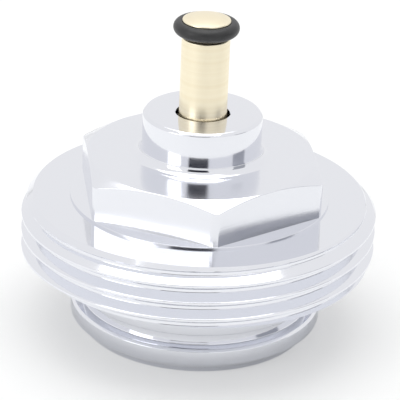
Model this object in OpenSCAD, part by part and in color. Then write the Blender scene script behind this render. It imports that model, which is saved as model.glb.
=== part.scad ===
// Radiator valve adapter: a plated brass body with a thermostat-head thread,
// a spanner hexagon and a boss, and a brass push pin that slides through it
// and carries one rubber O-ring. Millimetres, standing on its lower end.
// The body is one turned piece; the pin with its foot is a second one.

/* [Threaded flange] */

// Outside diameter of the thread crests
thread_d = 29.9; // [29.6:0.05:30]

// Pitch of the right-hand thread
thread_pitch = 1.5; // [1.25:0.25:1.5]

// Depth of the thread groove, crest to root
thread_depth = 0.86; // [0.7:0.02:0.9]

// Width of the crest flat between two turns of the groove
thread_crest = 0.2; // [0.15:0.05:0.3]

// Height of the groove's centre below the flange top, at the front
thread_front_drop = 0.59; // [0:0.01:1.4]

// Thickness of the threaded flange
flange_h = 5.3; // [4.5:0.1:7]

// Width and height of the chamfer on the flange's top edge
flange_top_edge = 0.95; // [0.9:0.05:1.3]

// Height of the chamfer on the flange's lower edge
flange_low_edge = 0.5; // [0.2:0.05:0.8]

/* [Spanner hexagon] */

// Distance across the flats
hex_flats = 19; // [17:0.5:21]

// Diameter that the turned corners are held to
hex_corner_d = 21.7; // [21.2:0.1:24.5]

// Height of the hexagon above its ledge
hex_h = 3.6; // [3:0.1:6]

// Height of the turned chamfer on the top corners
hex_chamfer_h = 0.65; // [0.3:0.05:1.2]

// Diameter of the round top face inside the chamfer
hex_top_d = 19.1; // [15:0.1:20]

// Turn of the hexagon round the axis: one corner sits at this angle
hex_turn = 7.8; // [0:0.1:59.9]

// Diameter of the thin ledge under the hexagon
ledge_d = 21.8; // [21.8:0.1:26]

// Thickness of the thin ledge
ledge_h = 0.2; // [0.1:0.05:0.5]

/* [Boss and bore] */

// Diameter of the boss round the pin
boss_d = 10; // [8:0.1:12]

// Height of the boss above the hexagon
boss_h = 3.7; // [2:0.1:8]

// Chamfer on the boss's top edge
boss_edge = 0.25; // [0.1:0.05:0.6]

// Radius of the fillet at the foot of the boss
boss_fillet = 0.8; // [0.3:0.1:1.2]

// Diameter of the relieved mouth at the top of the bore
mouth_d = 4.5; // [4.3:0.1:5]

// Depth of the relieved mouth
mouth_depth = 3; // [1:0.5:6]

// Running clearance between the pin and its bore, each side
pin_clearance = 0.05; // [0.02:0.01:0.09]

/* [Lower spigot] */

// Diameter of the land directly under the flange
land_d = 20.8; // [20:0.1:22]

// Height of that land
land_h = 2.75; // [2:0.05:5]

// Width of the narrow seal groove
groove_w = 1.23; // [1:0.01:2]

// Diameter at the bottom of the seal groove
groove_d = 19.4; // [18:0.1:20]

// Largest diameter of the end ring below the groove
ring_d = 21.3; // [20.6:0.1:22]

// Height of the end ring, down to the lower end
ring_h = 2.47; // [2:0.01:4]

// Chamfer on the ring's upper edge
ring_top_edge = 0.2; // [0.1:0.05:0.4]

// Height of the lead-in chamfer under the ring
lead_h = 0.62; // [0.3:0.02:1]

// Diameter at the lower end of the lead-in chamfer
lead_d = 19.9; // [19:0.1:20.2]

// Height of the small step at the very end
end_h = 0.48; // [0.2:0.02:0.8]

// Diameter of the lower end face
end_d = 19.3; // [18.5:0.1:19.8]

/* [Lower recess] */

// Diameter of the recess in the underside
recess_d = 14.4; // [14.2:0.1:15]

// Depth of the recess
recess_h = 8; // [6:0.1:10]

// Chamfer at the mouth of the recess
recess_edge = 0.4; // [0.2:0.1:1]

/* [Push pin] */

// Diameter of the pin
pin_d = 4; // [3.6:0.05:4.1]

// Height of the pin's rim above the boss, with its foot on the table
pin_out = 8.12; // [5:0.01:12]

// Height of the domed end above that rim
pin_dome = 0.3; // [0.1:0.05:0.6]

// Diameter of the wider foot that keeps the pin in the body
foot_d = 5; // [4.8:0.1:6]

// Height of the foot
foot_h = 3; // [2:0.1:4]

// Chamfer on the foot's edges
foot_edge = 0.3; // [0.1:0.05:0.6]

// Diameter at the bottom of the pin's ring groove
pin_groove_d = 3.2; // [2.8:0.05:3.4]

// Width of the pin's ring groove
pin_groove_w = 1.2; // [1.14:0.02:1.6]

// Height of the chamfer below the ring groove
pin_groove_lead = 0.25; // [0.1:0.05:0.5]

/* [O-ring] */

// Thickness of the O-ring's round section
oring_t = 1.13; // [0.9:0.01:1.4]

// Height of the O-ring's centre below the pin's rim
oring_drop = 0.67; // [0.6:0.01:1]

/* [Hidden] */

thread_r = thread_d / 2;
root_r = thread_r - thread_depth;
flank_slope = tan(30);
groove_open = thread_pitch - thread_crest;
groove_root = groove_open - 2 * thread_depth * flank_slope;

// The groove's cutter: how far its flanks run past the crest, how far it
// stands out, how far it runs on above and below, and degrees a step.
cutter_past = 0.08;
cutter_out = 0.5;
cutter_over = 0.3;
thread_step = 10;
cutter_open = groove_open + 2 * cutter_past * flank_slope;

flange_z = ring_h + groove_w + land_h;
flange_top = flange_z + flange_h;
hex_z = flange_top + ledge_h;
hex_top = hex_z + hex_h;
boss_top = hex_top + boss_h;
land_z = ring_h + groove_w;

// Room above the O-ring in its groove, how far joined forms run into each
// other, and how far the cutters run past a face.
oring_side = 0.01;
sink = 0.05;
past = 1;

guide_r = pin_d / 2 + pin_clearance;
rim_z = boss_top + pin_out;
dome_r = (pin_d * pin_d / 4 + pin_dome * pin_dome) / (2 * pin_dome);
oring_z = rim_z - oring_drop;
oring_r = (pin_groove_d + oring_t) / 2;
pin_groove_top = oring_z + oring_t / 2 + oring_side;
pin_groove_low = pin_groove_top - pin_groove_w;

chrome = [0.84, 0.86, 0.88];
brass = [0.86, 0.76, 0.52];
rubber = [0.12, 0.12, 0.13];

// Sub-parts that can be drawn one at a time.

// The sub-part to draw, or "all" for the whole adapter

// Outline of the turned body, from the axis outwards and back up.
function blank_profile() = [
    [0, 0],
    [end_d / 2, 0],
    [lead_d / 2, end_h],
    [ring_d / 2, end_h + lead_h],
    [ring_d / 2, ring_h - ring_top_edge],
    [ring_d / 2 - ring_top_edge, ring_h],
    [groove_d / 2, ring_h],
    [groove_d / 2, land_z],
    [land_d / 2, land_z],
    [land_d / 2, flange_z],
    [thread_r - flange_low_edge, flange_z],
    [thread_r, flange_z + flange_low_edge],
    [thread_r, flange_top - flange_top_edge],
    [thread_r - flange_top_edge, flange_top],
    [ledge_d / 2, flange_top],
    [ledge_d / 2, hex_z],
    [0, hex_z]
];

// Section of the thread groove. Its flanks run a little past the crest, and
// then the walls turn straight so that two turns don't meet outside it.
function groove_section() = [
    [root_r, -groove_root / 2],
    [thread_r + cutter_past, -cutter_open / 2],
    [thread_r + cutter_out, -cutter_open / 2],
    [thread_r + cutter_out, cutter_open / 2],
    [thread_r + cutter_past, cutter_open / 2],
    [root_r, groove_root / 2]
];

module thread_groove() {
    section = groove_section();
    count = len(section);
    front_z = flange_top - thread_front_drop;
    low_z = flange_z - groove_open / 2 - cutter_over;
    high_z = flange_top + groove_open / 2 + cutter_over;
    turns_low = (low_z - front_z) / thread_pitch;
    turns_high = (high_z - front_z) / thread_pitch;
    steps = ceil((turns_high - turns_low) * 360 / thread_step);
    points = [
        for (i = [0:steps])
            let (turn = turns_low + (turns_high - turns_low) * i / steps)
            let (angle = -90 + 360 * turn)
            for (p = section)
                [p[0] * cos(angle), p[0] * sin(angle), front_z + thread_pitch * turn + p[1]]
    ];
    sides = [
        for (i = [0:steps - 1])
            for (j = [0:count - 1])
                let (a = i * count + j)
                let (b = i * count + (j + 1) % count)
                for (t = [[a, b, b + count], [a, b + count, a + count]])
                    t
    ];
    first = [for (j = [1:count - 2]) [0, j + 1, j]];
    last = [for (j = [1:count - 2]) [steps * count, steps * count + j, steps * count + j + 1]];
    polyhedron(points = points, faces = concat(sides, first, last), convexity = 10);
}

module hexagon() {
    intersection() {
        translate([0, 0, hex_z - sink])
            rotate([0, 0, hex_turn - 90])
                cylinder(r = hex_flats / sqrt(3), h = hex_h + sink, $fn = 6);
        rotate_extrude($fn = 96)
            polygon([
                [0, hex_z - sink],
                [hex_corner_d / 2, hex_z - sink],
                [hex_corner_d / 2, hex_top - hex_chamfer_h],
                [hex_top_d / 2, hex_top],
                [0, hex_top]
            ]);
    }
}

module boss() {
    difference() {
        rotate_extrude($fn = 72)
            polygon([
                [0, hex_top - sink],
                [boss_d / 2 + boss_fillet, hex_top - sink],
                [boss_d / 2 + boss_fillet, hex_top],
                [boss_d / 2, hex_top + boss_fillet],
                [boss_d / 2, boss_top - boss_edge],
                [boss_d / 2 - boss_edge, boss_top],
                [0, boss_top]
            ]);
        translate([0, 0, hex_top + boss_fillet])
            rotate_extrude($fn = 72)
                translate([boss_d / 2 + boss_fillet, 0])
                    circle(r = boss_fillet, $fn = 32);
    }
}

module adapter_body() {
    color(chrome)
        difference() {
            union() {
                rotate_extrude($fn = 96)
                    polygon(blank_profile());
                hexagon();
                boss();
            }
            thread_groove();
            translate([0, 0, -past])
                cylinder(r = recess_d / 2, h = recess_h + past, $fn = 72);
            translate([0, 0, -recess_edge])
                cylinder(
                    r1 = recess_d / 2 + 2 * recess_edge,
                    r2 = recess_d / 2,
                    h = 2 * recess_edge,
                    $fn = 72
                );
            cylinder(r = guide_r, h = boss_top + past, $fn = 48);
            translate([0, 0, boss_top - mouth_depth])
                cylinder(r = mouth_d / 2, h = mouth_depth + past, $fn = 48);
        }
}

module push_pin() {
    color(brass) {
        rotate_extrude($fn = 48)
            polygon([
                [0, 0],
                [foot_d / 2 - foot_edge, 0],
                [foot_d / 2, foot_edge],
                [foot_d / 2, foot_h - foot_edge],
                [foot_d / 2 - foot_edge, foot_h],
                [pin_d / 2, foot_h],
                [pin_d / 2, pin_groove_low - pin_groove_lead],
                [pin_groove_d / 2, pin_groove_low],
                [pin_groove_d / 2, pin_groove_top],
                [pin_d / 2, pin_groove_top],
                [pin_d / 2, rim_z],
                [0, rim_z]
            ]);
        intersection() {
            translate([0, 0, rim_z - sink])
                cylinder(r = pin_d / 2, h = pin_dome + 2 * sink, $fn = 48);
            translate([0, 0, rim_z + pin_dome - dome_r])
                sphere(r = dome_r, $fn = 96);
        }
    }
}

module pin_o_ring() {
    color(rubber)
        translate([0, 0, oring_z])
            rotate_extrude($fn = 48)
                translate([oring_r, 0])
                    circle(r = oring_t / 2, $fn = 24);
}

adapter_body();
push_pin();
pin_o_ring();
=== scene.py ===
import math

import bmesh
import bpy
import numpy as np
from mathutils import Matrix, Vector


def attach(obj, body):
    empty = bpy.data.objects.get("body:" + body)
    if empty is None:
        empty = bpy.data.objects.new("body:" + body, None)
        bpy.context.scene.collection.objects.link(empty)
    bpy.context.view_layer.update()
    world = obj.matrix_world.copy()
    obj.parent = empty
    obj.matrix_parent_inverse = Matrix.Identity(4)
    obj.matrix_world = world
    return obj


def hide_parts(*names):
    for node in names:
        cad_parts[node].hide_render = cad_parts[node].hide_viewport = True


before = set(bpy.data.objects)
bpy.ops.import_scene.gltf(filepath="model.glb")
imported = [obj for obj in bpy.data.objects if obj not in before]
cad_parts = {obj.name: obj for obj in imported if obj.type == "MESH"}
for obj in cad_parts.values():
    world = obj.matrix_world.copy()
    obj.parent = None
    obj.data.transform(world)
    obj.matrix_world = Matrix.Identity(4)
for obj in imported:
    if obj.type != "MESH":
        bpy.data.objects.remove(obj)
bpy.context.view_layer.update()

MM = 0.001

# Sizes of the object in millimetres, as in the CAD source.
THREAD_R = 14.95
ROOT_R = 14.09
PITCH = 1.5
CREST_FLAT = 0.2
GROOVE_FRONT_Z = 11.16
FLANGE_LOW, FLANGE_TOP = 6.45, 11.75
FLANGE_FLAT_R = 14.0
LOW_EDGE = 0.5
LEDGE_R, LEDGE_TOP = 10.9, 11.95
HEX_HALF, HEX_CORNER_R = 9.5, 10.85
HEX_TOP, HEX_CHAMFER, HEX_TOP_R = 15.55, 0.65, 9.55
HEX_TURN, HEX_EDGE_BREAK = 7.8, 0.04
BOSS_R, BOSS_TOP, BOSS_FILLET, BOSS_EDGE = 5.0, 19.25, 0.8, 0.22
MOUTH_R, MOUTH_EDGE, MOUTH_LOW = 2.25, 0.09, 16.25
GUIDE_R = 2.05
RECESS_R, RECESS_TOP, RECESS_EDGE = 7.2, 8.0, 0.4
END_R, LEAD_R, LEAD_LOW, LEAD_TOP = 9.65, 9.95, 0.48, 1.1
RING_R, RING_TOP, RING_EDGE = 10.65, 2.47, 0.2
SEAL_GROOVE_R, LAND_R, LAND_LOW = 9.7, 10.4, 3.7
PIN_R, PIN_RIM, PIN_DOME = 2.0, 27.37, 0.3
FOOT_R, FOOT_TOP, FOOT_EDGE = 2.5, 3.0, 0.3
PIN_GROOVE_R, PIN_GROOVE_LEAD, PIN_GROOVE_LOW, PIN_GROOVE_TOP = 1.6, 25.825, 26.075, 27.275
ORING_MIDDLE_R, ORING_R, ORING_Z = 2.165, 0.565, 26.7

# The camera: degrees, metres and the focal length in picture widths.
CAMERA_ELEVATION, CAMERA_ROLL = 24.6, 2.5
CAMERA_DISTANCE, FOCAL_WIDTHS = 0.2, 5.924
LOOK_AT = (0.00008, 0, 0.01115)

# Share of plain white in what the camera sees of the floor.
SHADOW_LIGHTENING = 0.35


def grid_piece(name, columns, body, material, sharp=28, wrap=True):
    """A band of quads: columns[i][j] is point j of column i, in millimetres.

    With wrap, the last column is joined to the first. Without it, the last column
    repeats the first one's points, and the weld closes the band.
    """
    points = np.asarray(columns, float) * MM
    count, rows = points.shape[:2]
    steps = count if wrap else count - 1
    i, j = np.meshgrid(np.arange(steps), np.arange(rows - 1), indexing="ij")
    nxt = (i + 1) % count
    quads = np.stack(
        [i * rows + j, nxt * rows + j, nxt * rows + j + 1, i * rows + j + 1], axis=-1
    ).reshape(-1, 4)
    mesh = bpy.data.meshes.new(name)
    mesh.from_pydata(points.reshape(-1, 3).tolist(), [], quads.tolist())
    mesh.validate()
    return finish_piece(mesh, name, body, material, sharp)


def finish_piece(mesh, name, body, material, sharp):
    """Welds the mesh, shades it smooth with sharp edges kept, and puts it on its body."""
    work = bmesh.new()
    work.from_mesh(mesh)
    bmesh.ops.remove_doubles(work, verts=work.verts, dist=2e-7)
    bmesh.ops.dissolve_degenerate(work, edges=work.edges, dist=1e-8)
    bmesh.ops.recalc_face_normals(work, faces=work.faces)
    work.to_mesh(mesh)
    work.free()
    mesh.shade_smooth()
    mesh.set_sharp_from_angle(angle=math.radians(sharp))
    piece = bpy.data.objects.new(name, mesh)
    bpy.context.scene.collection.objects.link(piece)
    mesh.materials.append(material)
    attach(piece, body)
    return piece


def turned(profile, count=256):
    """Columns of points for a profile [(r, z), ...] turned round the axis."""
    angles = np.arange(count) * 2 * math.pi / count
    r = np.array([p[0] for p in profile])
    z = np.array([p[1] for p in profile])
    return [
        np.stack([r * math.cos(a), r * math.sin(a), z], axis=-1) for a in angles
    ]


def rounded(points, radius, steps=5):
    """A polyline [(r, z), ...] with each inner corner rounded by an arc."""
    out = [points[0]]
    for before, corner, after in zip(points, points[1:], points[2:]):
        a, c, b = (np.array(p[:2], float) for p in (before, corner, after))
        size = corner[2] if len(corner) > 2 else radius
        u, v = a - c, b - c
        lu, lv = np.linalg.norm(u), np.linalg.norm(v)
        u, v = u / lu, v / lv
        turn = math.pi - math.acos(float(np.clip(u @ v, -1, 1)))
        if size <= 0 or turn < 0.03:
            out.append(tuple(c))
            continue
        reach = min(size * math.tan(turn / 2), 0.45 * lu, 0.45 * lv)
        size = reach / math.tan(turn / 2)
        middle = (u + v) / np.linalg.norm(u + v)
        centre = c + middle * size / math.cos(turn / 2)
        start, end = c + u * reach - centre, c + v * reach - centre
        for k in range(steps + 1):
            t = k / steps
            w = math.sin((1 - t) * turn) * start + math.sin(t * turn) * end
            out.append(tuple(centre + w / math.sin(turn)))
    out.append(points[-1][:2])
    return out


def polyline_at(z, points):
    """Radius of the polyline [(r, z), ...], which rises in z, at the heights z."""
    return np.interp(z, [p[1] for p in points], [p[0] for p in points])


# One pitch of the thread groove, from the middle of a root to the middle of a crest.
FLANK = 1 / math.tan(math.radians(30))
half_open = (PITCH - CREST_FLAT) / 2
half_root = half_open - (THREAD_R - ROOT_R) / FLANK
half_groove = rounded(
    [(ROOT_R, 0), (ROOT_R, half_root, 0.13), (THREAD_R, half_open, 0.1), (THREAD_R, PITCH / 2)],
    0.1,
    6,
)
flank_from, flank_to = half_groove[7], half_groove[8]
flank_points = [
    tuple(np.array(flank_from) + (np.array(flank_to) - np.array(flank_from)) * t)
    for t in np.linspace(0, 1, 13)[1:-1]
]
half_groove = half_groove[:8] + flank_points + half_groove[8:]
one_pitch = [(r, -d) for r, d in reversed(half_groove)] + half_groove[1:]


def thread_columns(count=384):
    """The flange: underside, thread, chamfers and flat top, column by column.

    The rows follow the helix, so they climb one pitch in a full turn. The last column
    lies on the first, with its rows one pitch lower, and isn't joined by row number.
    """
    shape = rounded(
        [
            (THREAD_R - LOW_EDGE - 0.4, FLANGE_LOW - 0.4),
            (THREAD_R - LOW_EDGE, FLANGE_LOW),
            (THREAD_R, FLANGE_LOW + LOW_EDGE),
            (THREAD_R, FLANGE_TOP - (THREAD_R - FLANGE_FLAT_R)),
            (FLANGE_FLAT_R, FLANGE_TOP),
            (FLANGE_FLAT_R - 0.4, FLANGE_TOP + 0.4),
        ],
        0.1,
    )
    section_z = np.array([p[1] for p in one_pitch])
    section_r = np.array([p[0] for p in one_pitch])
    columns = []
    for k in range(count + 1):
        angle = -math.pi + 2 * math.pi * k / count
        first = GROOVE_FRONT_Z + PITCH * (angle + math.pi / 2) / (2 * math.pi)
        z = np.concatenate([first + PITCH * m + section_z for m in range(-5, 3)])
        r = np.tile(section_r, 8)
        keep = (z > first - PITCH * 3.9) & (z < first + PITCH * 1.4)
        z, r = z[keep], r[keep]
        low = np.interp(FLANGE_LOW, z, r)
        top = np.interp(FLANGE_TOP, z, r)
        r = np.where(z < FLANGE_LOW, low, np.where(z > FLANGE_TOP, top, r))
        z = np.clip(z, FLANGE_LOW, FLANGE_TOP)
        r = np.minimum(r, polyline_at(z, shape))
        z = np.concatenate([[FLANGE_LOW, FLANGE_LOW], z, [FLANGE_TOP, FLANGE_TOP]])
        r = np.concatenate([[LAND_R, 12.4], r, [12.4, LEDGE_R - 0.2]])
        columns.append(
            np.stack([r * math.cos(angle), r * math.sin(angle), z], axis=-1)
        )
    size = min(len(c) for c in columns)
    assert size == max(len(c) for c in columns), "thread columns differ"
    return columns


def hex_columns():
    """The ledge and the hexagon with its turned corners and chamfer."""
    corner_half = 30 - math.degrees(math.acos(HEX_HALF / HEX_CORNER_R))
    angles = []
    for side in range(6):
        corner = HEX_TURN - 90 + 60 * side
        angles += [corner - corner_half, corner, corner + corner_half]
        angles += list(np.linspace(corner + corner_half, corner + 60 - corner_half, 42)[1:-1])
    slope = HEX_CHAMFER / (HEX_CORNER_R - HEX_TOP_R)
    columns = []
    for angle in sorted(angles):
        side = (angle - HEX_TURN + 90) % 60 - 30
        r = min(HEX_HALF / math.cos(math.radians(side)), HEX_CORNER_R)
        inner = min(r, HEX_TOP_R) - HEX_EDGE_BREAK
        edge = HEX_TOP - (max(0, r - HEX_TOP_R) + HEX_EDGE_BREAK) * slope
        line = rounded(
            [
                (LEDGE_R, FLANGE_TOP),
                (LEDGE_R, LEDGE_TOP, 0.04),
                (r, LEDGE_TOP, 0.02),
                (r, edge, 0.05),
                (inner, HEX_TOP + 1e-4, 0.05),
                (7.6, HEX_TOP + 1e-4, 0),
                (BOSS_R + BOSS_FILLET, HEX_TOP + 1e-4),
            ],
            0.05,
            3,
        )
        columns.append((angle, line))
    size = max(len(line) for _, line in columns)
    out = []
    for angle, line in columns:
        line = line + [line[-1]] * (size - len(line))
        a = math.radians(angle)
        out.append([(r * math.cos(a), r * math.sin(a), z) for r, z in line])
    return out


def arc(r, z, radius, start, end, steps):
    """Points of an arc in the (r, z) plane, angles in degrees."""
    return [
        (
            r + radius * math.cos(math.radians(start + (end - start) * k / steps)),
            z + radius * math.sin(math.radians(start + (end - start) * k / steps)),
        )
        for k in range(steps + 1)
    ]


boss_foot = arc(
    BOSS_R + BOSS_FILLET, HEX_TOP + BOSS_FILLET, BOSS_FILLET, -90, -180, 14
)
boss_rest = rounded(
    [
        (BOSS_R, HEX_TOP + BOSS_FILLET),
        (BOSS_R, BOSS_TOP - BOSS_EDGE, 0.12),
        (BOSS_R - BOSS_EDGE, BOSS_TOP, 0.12),
        (MOUTH_R + MOUTH_EDGE, BOSS_TOP, 0.04),
        (MOUTH_R, BOSS_TOP - MOUTH_EDGE, 0.04),
        (MOUTH_R, MOUTH_LOW),
        (GUIDE_R, MOUTH_LOW),
        (GUIDE_R, RECESS_TOP),
        (RECESS_R, RECESS_TOP),
        (RECESS_R, RECESS_EDGE),
        (RECESS_R + RECESS_EDGE, 0.0),
        (END_R, 0.0, 0.05),
        (LEAD_R, LEAD_LOW, 0.08),
        (RING_R, LEAD_TOP, 0.08),
        (RING_R, RING_TOP - RING_EDGE, 0.06),
        (RING_R - RING_EDGE, RING_TOP, 0.06),
        (SEAL_GROOVE_R, RING_TOP, 0.1),
        (SEAL_GROOVE_R, LAND_LOW, 0.1),
        (LAND_R, LAND_LOW, 0.06),
        (LAND_R, FLANGE_LOW),
    ],
    0.02,
    4,
)

pin_profile = rounded(
    [
        (0.0, 0.0),
        (FOOT_R - FOOT_EDGE, 0.0, 0),
        (FOOT_R, FOOT_EDGE, 0.05),
        (FOOT_R, FOOT_TOP - FOOT_EDGE, 0.05),
        (FOOT_R - FOOT_EDGE, FOOT_TOP, 0.02),
        (PIN_R, FOOT_TOP, 0.02),
        (PIN_R, PIN_GROOVE_LEAD, 0.08),
        (PIN_GROOVE_R, PIN_GROOVE_LOW, 0.05),
        (PIN_GROOVE_R, PIN_GROOVE_TOP, 0.05),
        (PIN_R, PIN_GROOVE_TOP, 0.03),
        (PIN_R, PIN_RIM, 0.05),
    ],
    0.03,
    4,
)
dome_r = (PIN_R**2 + PIN_DOME**2) / (2 * PIN_DOME)
dome = [
    (t, PIN_RIM + PIN_DOME - dome_r + math.sqrt(dome_r**2 - t**2))
    for t in np.linspace(PIN_R - 0.03, 0, 14)
]


def new_material(name):
    material = bpy.data.materials.new(name)
    material.use_nodes = True
    tree = material.node_tree
    shader = tree.nodes["Principled BSDF"]
    return material, tree, shader


def node(tree, kind, **values):
    made = tree.nodes.new(kind)
    for key, value in values.items():
        if key in made.inputs:
            made.inputs[key].default_value = value
        else:
            setattr(made, key, value)
    return made


def math_node(tree, operation, a, b=None):
    made = tree.nodes.new("ShaderNodeMath")
    made.operation = operation
    for index, value in enumerate((a, b)):
        if value is None:
            continue
        if isinstance(value, (int, float)):
            made.inputs[index].default_value = value
        else:
            tree.links.new(value, made.inputs[index])
    return made.outputs[0]


def position(tree):
    """The piece's own coordinates, in metres, and the distance from the axis."""
    coords = node(tree, "ShaderNodeTexCoord")
    split = node(tree, "ShaderNodeSeparateXYZ")
    tree.links.new(coords.outputs["Object"], split.inputs[0])
    x, y, z = split.outputs
    radius = math_node(
        tree,
        "SQRT",
        math_node(
            tree, "ADD", math_node(tree, "MULTIPLY", x, x), math_node(tree, "MULTIPLY", y, y)
        ),
    )
    return coords.outputs["Object"], x, y, z, radius


def lines_noise(tree, along, scale, detail=2.0):
    """Noise that changes along one coordinate only: fine tool lines."""
    noise = node(tree, "ShaderNodeTexNoise", noise_dimensions="1D")
    noise.inputs["Scale"].default_value = scale
    noise.inputs["Detail"].default_value = detail
    tree.links.new(along, noise.inputs["W"])
    return noise.outputs[0]


def plating(name, tool_lines, strength, roughness):
    """Bright plating over turned or milled metal. tool_lines picks what the lines follow."""
    material, tree, shader = new_material(name)
    coords, x, y, z, radius = position(tree)
    along = {"radius": radius, "height": z}.get(tool_lines, math_node(tree, "ADD", z, radius))
    fine = lines_noise(tree, along, 9000, 3)
    broad = lines_noise(tree, along, 1500, 2)
    lines = math_node(tree, "ADD", math_node(tree, "MULTIPLY", fine, 0.6), broad)
    bump = node(tree, "ShaderNodeBump")
    bump.inputs["Strength"].default_value = strength
    bump.inputs["Distance"].default_value = 4e-6
    tree.links.new(lines, bump.inputs["Height"])
    tree.links.new(bump.outputs[0], shader.inputs["Normal"])
    cloud = node(tree, "ShaderNodeTexNoise")
    cloud.inputs["Scale"].default_value = 260
    cloud.inputs["Detail"].default_value = 4
    tree.links.new(coords, cloud.inputs["Vector"])
    rough = node(tree, "ShaderNodeMapRange")
    rough.inputs["To Min"].default_value = roughness * 0.6
    rough.inputs["To Max"].default_value = roughness * 1.5
    tree.links.new(cloud.outputs[0], rough.inputs["Value"])
    tree.links.new(rough.outputs[0], shader.inputs["Roughness"])
    shader.inputs["Metallic"].default_value = 1
    shader.inputs["Base Color"].default_value = (0.80, 0.81, 0.855, 1)
    return material


def pin_brass():
    """Pale turned brass with faint tool lines."""
    material, tree, shader = new_material("pin_brass")
    coords, x, y, z, radius = position(tree)
    streaks = lines_noise(tree, z, 2500, 2)
    bump = node(tree, "ShaderNodeBump")
    bump.inputs["Strength"].default_value = 0.06
    bump.inputs["Distance"].default_value = 4e-6
    tree.links.new(streaks, bump.inputs["Height"])
    tree.links.new(bump.outputs[0], shader.inputs["Normal"])
    ramp = node(tree, "ShaderNodeValToRGB")
    ramp.color_ramp.elements[0].color = (0.88, 0.79, 0.59, 1)
    ramp.color_ramp.elements[1].color = (0.91, 0.83, 0.64, 1)
    ramp.color_ramp.elements[0].position = 0.3
    ramp.color_ramp.elements[1].position = 0.62
    tree.links.new(streaks, ramp.inputs[0])
    tree.links.new(ramp.outputs[0], shader.inputs["Base Color"])
    shader.inputs["Metallic"].default_value = 1
    shader.inputs["Roughness"].default_value = 0.34
    return material


def ring_rubber():
    """Black rubber with a faint bloom."""
    material, tree, shader = new_material("ring_rubber")
    coords, x, y, z, radius = position(tree)
    cloud = node(tree, "ShaderNodeTexNoise")
    cloud.inputs["Scale"].default_value = 1800
    cloud.inputs["Detail"].default_value = 4
    tree.links.new(coords, cloud.inputs["Vector"])
    ramp = node(tree, "ShaderNodeValToRGB")
    ramp.color_ramp.elements[0].color = (0.008, 0.008, 0.009, 1)
    ramp.color_ramp.elements[1].color = (0.03, 0.03, 0.032, 1)
    tree.links.new(cloud.outputs[0], ramp.inputs[0])
    tree.links.new(ramp.outputs[0], shader.inputs["Base Color"])
    shader.inputs["Roughness"].default_value = 0.42
    bump = node(tree, "ShaderNodeBump")
    bump.inputs["Strength"].default_value = 0.3
    bump.inputs["Distance"].default_value = 1e-5
    tree.links.new(cloud.outputs[0], bump.inputs["Height"])
    tree.links.new(bump.outputs[0], shader.inputs["Normal"])
    return material


plate_turned = plating("plating_turned", "both", 0.12, 0.08)
plate_thread = plating("plating_thread", "both", 0.1, 0.08)
plate_hex = plating("plating_milled", "height", 0.5, 0.16)

thread = grid_piece(
    "thread_flange", thread_columns(), "adapter", plate_thread, wrap=False
)
hexagon = grid_piece("hexagon", hex_columns(), "adapter", plate_hex)
spigot = grid_piece(
    "boss_bore_spigot", turned(boss_foot + boss_rest[1:], 288), "adapter", plate_turned
)
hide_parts("adapter_body")

pin = grid_piece("pin", turned(pin_profile[:-1] + dome, 160), "pin", pin_brass())
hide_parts("push_pin")

ring_columns = []
for a in np.arange(144) * 2 * math.pi / 144:
    line = arc(ORING_MIDDLE_R, ORING_Z, ORING_R, 180, 540, 40)
    ring_columns.append([(r * math.cos(a), r * math.sin(a), z) for r, z in line])
ring = grid_piece("o_ring", ring_columns, "pin", ring_rubber())
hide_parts("pin_o_ring")


def emitter(name, colour, strength):
    material, tree, shader = new_material(name)
    tree.nodes.remove(shader)
    glow = node(tree, "ShaderNodeEmission")
    glow.inputs["Color"].default_value = colour
    glow.inputs["Strength"].default_value = strength
    tree.links.new(glow.outputs[0], tree.nodes["Material Output"].inputs["Surface"])
    return material


def card(name, centre, normal, width, height, material):
    """A flat card that stands in the studio; the camera doesn't see it directly."""
    mesh = bpy.data.meshes.new(name)
    w, h = width / 2, height / 2
    mesh.from_pydata([(-w, -h, 0), (w, -h, 0), (w, h, 0), (-w, h, 0)], [], [(0, 1, 2, 3)])
    mesh.materials.append(material)
    made = bpy.data.objects.new(name, mesh)
    bpy.context.scene.collection.objects.link(made)
    made.matrix_world = (
        Matrix.Translation(Vector(centre))
        @ Vector(normal).to_track_quat("Z", "Y").to_matrix().to_4x4()
    )
    made.visible_camera = False
    return made


def direction(azimuth, elevation):
    """Unit vector; azimuth in degrees from +X towards +Y."""
    a, e = math.radians(azimuth), math.radians(elevation)
    return Vector((math.cos(a) * math.cos(e), math.sin(a) * math.cos(e), math.sin(e)))


def soft_light(name, place, away_from_part, width, height, energy):
    """An even rectangular lamp that shines against the direction away_from_part."""
    lamp = bpy.data.lights.new(name, "AREA")
    lamp.shape = "RECTANGLE"
    lamp.size, lamp.size_y = width, height
    lamp.energy = energy
    made = bpy.data.objects.new(name, lamp)
    bpy.context.scene.collection.objects.link(made)
    made.location = place
    made.rotation_euler = Vector(away_from_part).to_track_quat("Z", "Y").to_euler()


def paper_floor():
    """White paper. For the camera it is partly a plain white, which lightens the shadow."""
    paper, tree, shader = new_material("paper")
    shader.inputs["Base Color"].default_value = (0.93, 0.935, 0.93, 1)
    shader.inputs["Roughness"].default_value = 0.9
    shader.inputs["Specular IOR Level"].default_value = 0.1
    white = node(tree, "ShaderNodeEmission")
    white.inputs["Color"].default_value = (0.96, 0.96, 0.96, 1)
    path = node(tree, "ShaderNodeLightPath")
    share = math_node(tree, "MULTIPLY", path.outputs["Is Camera Ray"], SHADOW_LIGHTENING)
    mix = node(tree, "ShaderNodeMixShader")
    tree.links.new(share, mix.inputs[0])
    tree.links.new(shader.outputs[0], mix.inputs[1])
    tree.links.new(white.outputs[0], mix.inputs[2])
    tree.links.new(mix.outputs[0], tree.nodes["Material Output"].inputs["Surface"])
    return paper


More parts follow.
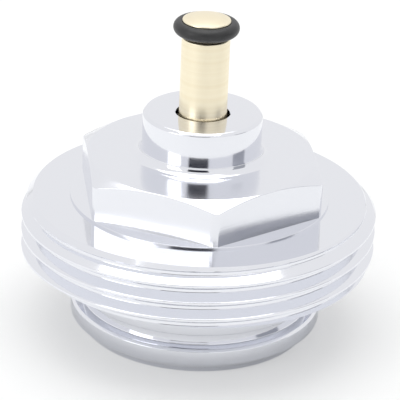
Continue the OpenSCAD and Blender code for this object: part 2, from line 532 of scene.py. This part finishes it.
floor_mesh = bpy.data.meshes.new("floor")
floor_mesh.from_pydata(
    [(-3, -3, 0), (3, -3, 0), (3, 3, 0), (-3, 3, 0)], [], [(0, 1, 2, 3)]
)
floor = bpy.data.objects.new("floor", floor_mesh)
bpy.context.scene.collection.objects.link(floor)
floor_mesh.materials.append(paper_floor())

# The surroundings that the plating mirrors: dark round the camera, grey at the right.
centre = Vector((0, 0, 0.012))
black = emitter("dark_card", (0.035, 0.035, 0.045, 1), 1.0)
grey = emitter("grey_card", (0.40, 0.41, 0.44, 1), 1.0)
to_camera = direction(-94, CAMERA_ELEVATION)
card("camera_side", centre + to_camera * 0.27, -to_camera, 0.17, 0.12, black)
to_right = direction(-14, 10)
card("right_side", centre + to_right * 0.3, -to_right, 0.14, 0.16, grey)

soft_light("overhead", (-0.02, 0.03, 0.36), (0, 0, 1), 0.34, 0.34, 0.62)
left_front = direction(-141, 22)
soft_light("left_front", centre + left_front * 0.4, left_front, 0.17, 0.22, 0.17)

world = bpy.data.worlds.new("studio")
bpy.context.scene.world = world
world.use_nodes = True
tree = world.node_tree
back = tree.nodes["Background"]
path = tree.nodes.new("ShaderNodeLightPath")
seen = math_node(
    tree, "MAXIMUM", path.outputs["Is Camera Ray"], path.outputs["Is Glossy Ray"]
)
level = node(tree, "ShaderNodeMapRange")
level.inputs["To Min"].default_value = 0.8
level.inputs["To Max"].default_value = 0.96
tree.links.new(seen, level.inputs["Value"])
tree.links.new(level.outputs[0], back.inputs["Strength"])
back.inputs["Color"].default_value = (1, 1, 1, 1)

away = direction(-90, CAMERA_ELEVATION)
right = Vector((1, 0, 0))
up = away.cross(right)
roll = math.radians(CAMERA_ROLL)
cam_right = math.cos(roll) * right + math.sin(roll) * up
cam_up = math.cos(roll) * up - math.sin(roll) * right
lens = bpy.data.cameras.new("camera")
lens.lens = lens.sensor_width * FOCAL_WIDTHS
lens.clip_start = 0.002
lens.clip_end = 20
camera = bpy.data.objects.new("camera", lens)
bpy.context.scene.collection.objects.link(camera)
turn = Matrix((cam_right, cam_up, away)).transposed().to_4x4()
camera.matrix_world = Matrix.Translation(Vector(LOOK_AT) + away * CAMERA_DISTANCE) @ turn
bpy.context.scene.camera = camera

view = bpy.context.scene.view_settings
view.view_transform = "Standard"
